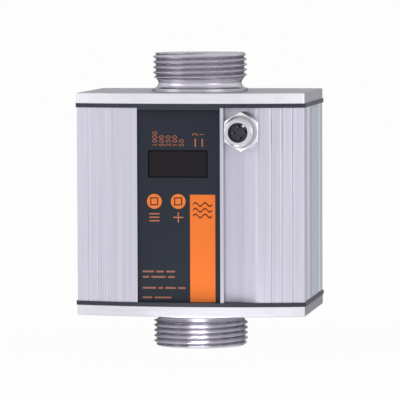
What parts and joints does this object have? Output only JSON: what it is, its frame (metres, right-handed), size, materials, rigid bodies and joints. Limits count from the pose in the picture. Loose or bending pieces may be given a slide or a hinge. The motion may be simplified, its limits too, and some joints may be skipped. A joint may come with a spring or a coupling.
{
  "type": "ultrasonic flow meter",
  "caption": "In-line ultrasonic flow meter: extruded housing with display, keys and round plug connector on a straight measuring tube with a pipe thread at each end.",
  "frame": {"origin": "on the axis of the measuring tube, halfway between its two ends", "axes": "+Z along the tube towards the upper thread, the display side faces -Y, +X to the right seen from the display side"},
  "size_m": [0.1016, 0.0841, 0.13],
  "materials": {
    "stainless": "turned",
    "screw_steel": "satin",
    "housing_aluminium": "extruded, satin anodised",
    "cover_aluminium": "satin anodised",
    "gasket_rubber": "matt",
    "panel_anthracite": "printed film",
    "window_tint": "tinted, clear gloss",
    "key_orange": "matt",
    "switch_black": "moulded",
    "board_green": "solder resist",
    "display_black": "moulded",
    "plug_nickel": "nickel plated",
    "plug_black": "moulded",
    "pin_gold": "gold plated",
    "wedge_polymer": "machined",
    "piezo_ceramic": "fired",
    "strap_steel": "rolled",
    "sensor_black": "cast resin",
    "plate_silver": "foil, bare"
  },
  "bodies": {
    "meter": {"measuring_tube": "stainless", "upper_tube_seal": "gasket_rubber", "lower_tube_seal": "gasket_rubber", "housing_profile": "housing_aluminium", "upper_gasket": "gasket_rubber", "lower_gasket": "gasket_rubber", "top_cover": "cover_aluminium", "bottom_cover": "cover_aluminium", "top_screws": "screw_steel", "bottom_screws": "screw_steel", "front_panel": "panel_anthracite", "display_window": "window_tint", "mode_switch": "switch_black", "set_switch": "switch_black", "main_board": "board_green", "display_module": "display_black", "processor": "switch_black", "inductor": "switch_black", "plug_shell": "plug_nickel", "plug_insert": "plug_black", "plug_pins": "pin_gold", "plug_seal": "gasket_rubber", "plug_locknut": "plug_nickel", "upper_wedge": "wedge_polymer", "lower_wedge": "wedge_polymer", "upper_piezo": "piezo_ceramic", "lower_piezo": "piezo_ceramic", "upper_strap": "strap_steel", "lower_strap": "strap_steel", "temperature_sensor": "sensor_black", "type_plate": "plate_silver"},
    "mode_button": {"mode_key": "key_orange", "mode_plunger": "switch_black"},
    "set_button": {"set_key": "key_orange", "set_plunger": "switch_black"}
  },
  "joints": [
    {"name": "mode_press", "type": "slide", "parent": "meter", "child": "mode_button", "axis": [0, 1, 0], "range_m": [0, 0.0005], "stiffness_N_per_m": 4000},
    {"name": "set_press", "type": "slide", "parent": "meter", "child": "set_button", "axis": [0, 1, 0], "range_m": [0, 0.0005], "stiffness_N_per_m": 4000}
  ]
}
